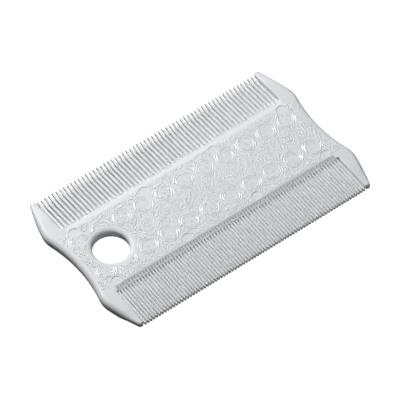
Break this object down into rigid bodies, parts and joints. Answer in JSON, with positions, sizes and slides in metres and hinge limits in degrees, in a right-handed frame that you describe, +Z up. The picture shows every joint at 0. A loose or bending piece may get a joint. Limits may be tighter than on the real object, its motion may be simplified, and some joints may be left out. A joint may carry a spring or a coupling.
{
  "type": "double-sided fine-tooth comb",
  "caption": "Flat double-sided grooming comb: grip plate with a hanging hole and raised ornament, a coarse row and a fine row of straight teeth, and rounded guard teeth at the corners.",
  "frame": {"origin": "middle of the underside of the grip plate, on the surface the comb lies on", "axes": "+X along the comb away from the hanging hole, +Y across it towards the coarse teeth, +Z up out of the ornamented face"},
  "size_m": [0.0906, 0.054, 0.0036],
  "materials": {
    "white_plastic": "satin moulded white plastic with a faint cool tint, softly polished edges and a very fine mould texture"
  },
  "bodies": {
    "root": {"grip_plate": "white_plastic", "hole_end_bar": "white_plastic", "plain_end_bar": "white_plastic", "coarse_root_web": "white_plastic", "fine_root_web": "white_plastic", "coarse_teeth": "white_plastic", "fine_teeth": "white_plastic", "coarse_guard_tooth_hole_end": "white_plastic", "coarse_guard_tooth_plain_end": "white_plastic", "fine_guard_tooth_hole_end": "white_plastic", "fine_guard_tooth_plain_end": "white_plastic", "rosette_ornament": "white_plastic", "bead_ornament": "white_plastic", "scallop_ornament": "white_plastic"}
  },
  "joints": []
}
